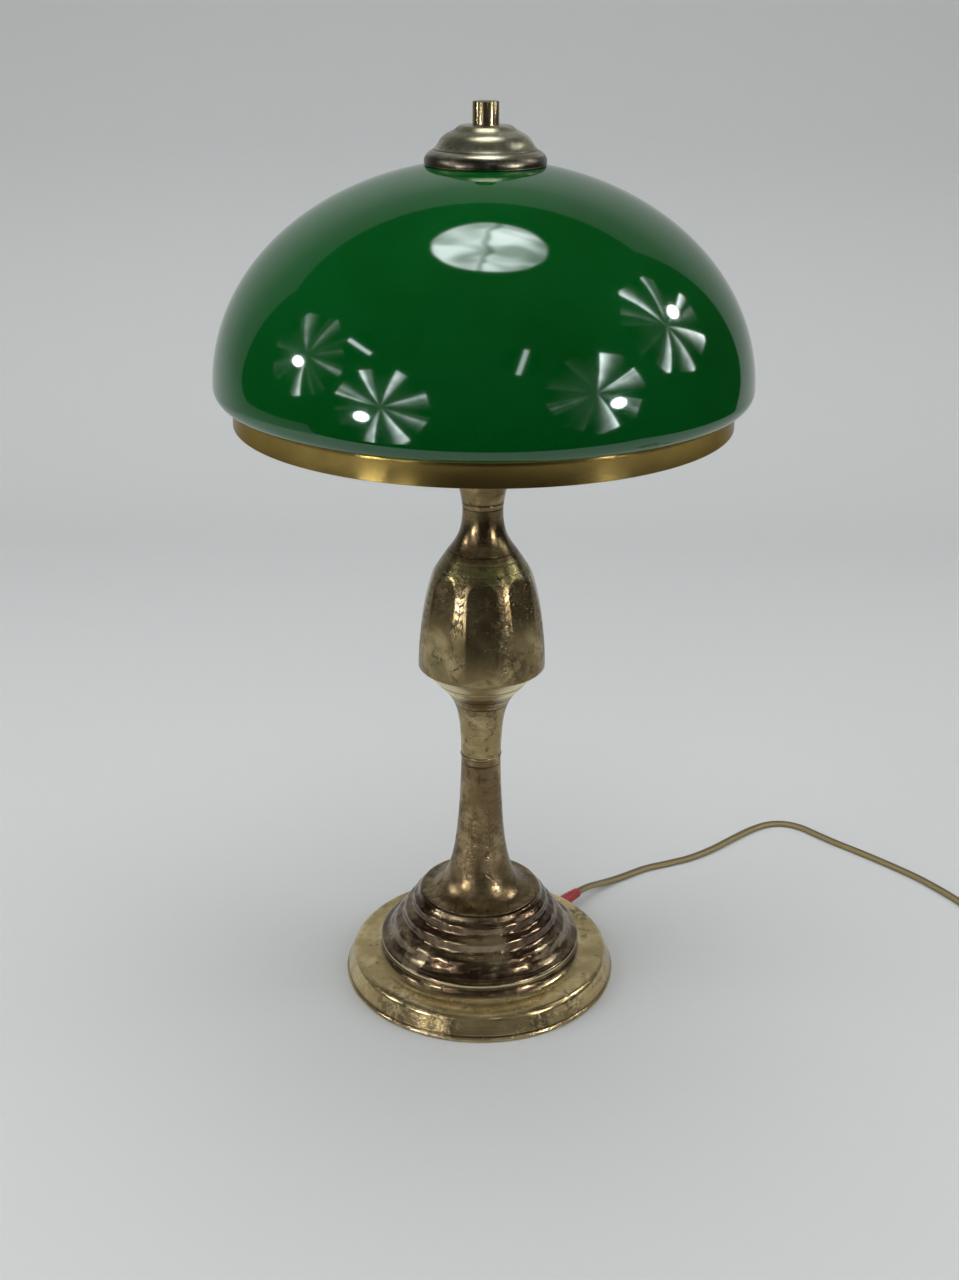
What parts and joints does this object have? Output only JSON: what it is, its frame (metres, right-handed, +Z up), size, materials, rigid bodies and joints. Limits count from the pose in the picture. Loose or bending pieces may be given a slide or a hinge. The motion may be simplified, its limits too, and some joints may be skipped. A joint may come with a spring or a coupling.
{
  "type": "desk lamp",
  "caption": "Desk lamp with a domed green glass shade in a metal ring, on a turned and fluted brass column with a stepped weighted base, cord switch and plug.",
  "frame": {"origin": "centre of the base's underside, on the table", "axes": "+Z up along the column, -Y towards the viewer of the picture, cord leaves at the back right"},
  "size_m": [0.6025, 0.3363, 0.5294],
  "materials": {
    "polished_brass": "polished",
    "patinated_metal": "dull patina over nickel",
    "felt": "felt",
    "green_glass": "cased glass, glossy",
    "ring_brass": "satin, brushed round",
    "rubber_strip": "matt",
    "plain_brass": "plain",
    "ceramic": "glazed white",
    "bulb_metal": "bright",
    "opal_glass": "opal",
    "lead_cover": "matt",
    "column_brass": "aged, engraved",
    "light_brass": "turned, lighter",
    "dome_brass": "hammered, aged",
    "dish_brass": "aged, scratched",
    "cast_iron": "rough cast",
    "steel": "plain",
    "red_sleeve": "soft, satin",
    "cord_cover": "smooth, satin",
    "brown_plastic": "gloss",
    "nickel_pins": "nickel plated"
  },
  "bodies": {
    "base": {"shade_ring": "ring_brass", "ring_strip": "rubber_strip", "shade_spider": "plain_brass", "spider_screws": "polished_brass", "top_rod": "polished_brass", "rod_nuts": "polished_brass", "wiring_box": "plain_brass", "wiring_box_lid": "plain_brass", "box_nut": "polished_brass", "terminal_block": "ceramic", "holder_nipples": "plain_brass", "holder_right": "plain_brass", "holder_insert_right": "ceramic", "holder_left": "plain_brass", "holder_insert_left": "ceramic", "holder_leads": "lead_cover", "neck_collar": "column_brass", "bell_neck": "column_brass", "bell": "column_brass", "bell_cup": "light_brass", "upper_stem": "column_brass", "lower_stem": "column_brass", "stepped_dome": "dome_brass", "base_dish": "dish_brass", "stem_tube": "plain_brass", "base_weight": "cast_iron", "base_washer": "steel", "base_nut": "polished_brass", "base_plate": "steel", "base_felt": "felt", "cord_sleeve": "red_sleeve", "inner_lead": "cord_cover", "cord": "cord_cover", "switch_base": "brown_plastic", "switch_cover": "brown_plastic", "switch_contacts": "polished_brass", "switch_leads": "lead_cover", "switch_screws": "steel", "cord_link": "cord_cover", "cord_coil": "cord_cover", "cord_tail": "cord_cover", "plug_body": "brown_plastic", "plug_pins": "nickel_pins"},
    "shade": {"glass_shade": "green_glass"},
    "crown": {"shade_cap": "patinated_metal", "cap_felt": "felt"},
    "finial": {"finial": "polished_brass"},
    "right_bulb": {"bulb_cap_right": "bulb_metal", "bulb_right": "opal_glass"},
    "left_bulb": {"bulb_cap_left": "bulb_metal", "bulb_left": "opal_glass"},
    "rocker": {"switch_rocker": "brown_plastic"}
  },
  "joints": [
    {"name": "shade_lift", "type": "slide", "parent": "base", "child": "shade", "axis": [0, 0, 1], "range_m": [0, 0.17]},
    {"name": "crown_lift", "type": "slide", "parent": "shade", "child": "crown", "axis": [0, 0, 1], "range_m": [0, 0.03]},
    {"name": "finial_turn", "type": "hinge", "parent": "crown", "child": "finial", "pos_m": [0, 0, 0.52], "axis": [0, 0, 1], "continuous": true},
    {"name": "right_bulb_turn", "type": "hinge", "parent": "base", "child": "right_bulb", "pos_m": [0, 0, 0.372], "axis": [0.9063, 0, 0.4226], "continuous": true},
    {"name": "left_bulb_turn", "type": "hinge", "parent": "base", "child": "left_bulb", "pos_m": [0, 0, 0.372], "axis": [-0.9063, 0, 0.4226], "continuous": true},
    {"name": "rocker_press", "type": "hinge", "parent": "base", "child": "rocker", "pos_m": [0.352, -0.036, 0.0115], "axis": [1, 0, 0], "range_deg": [0, 14]}
  ]
}
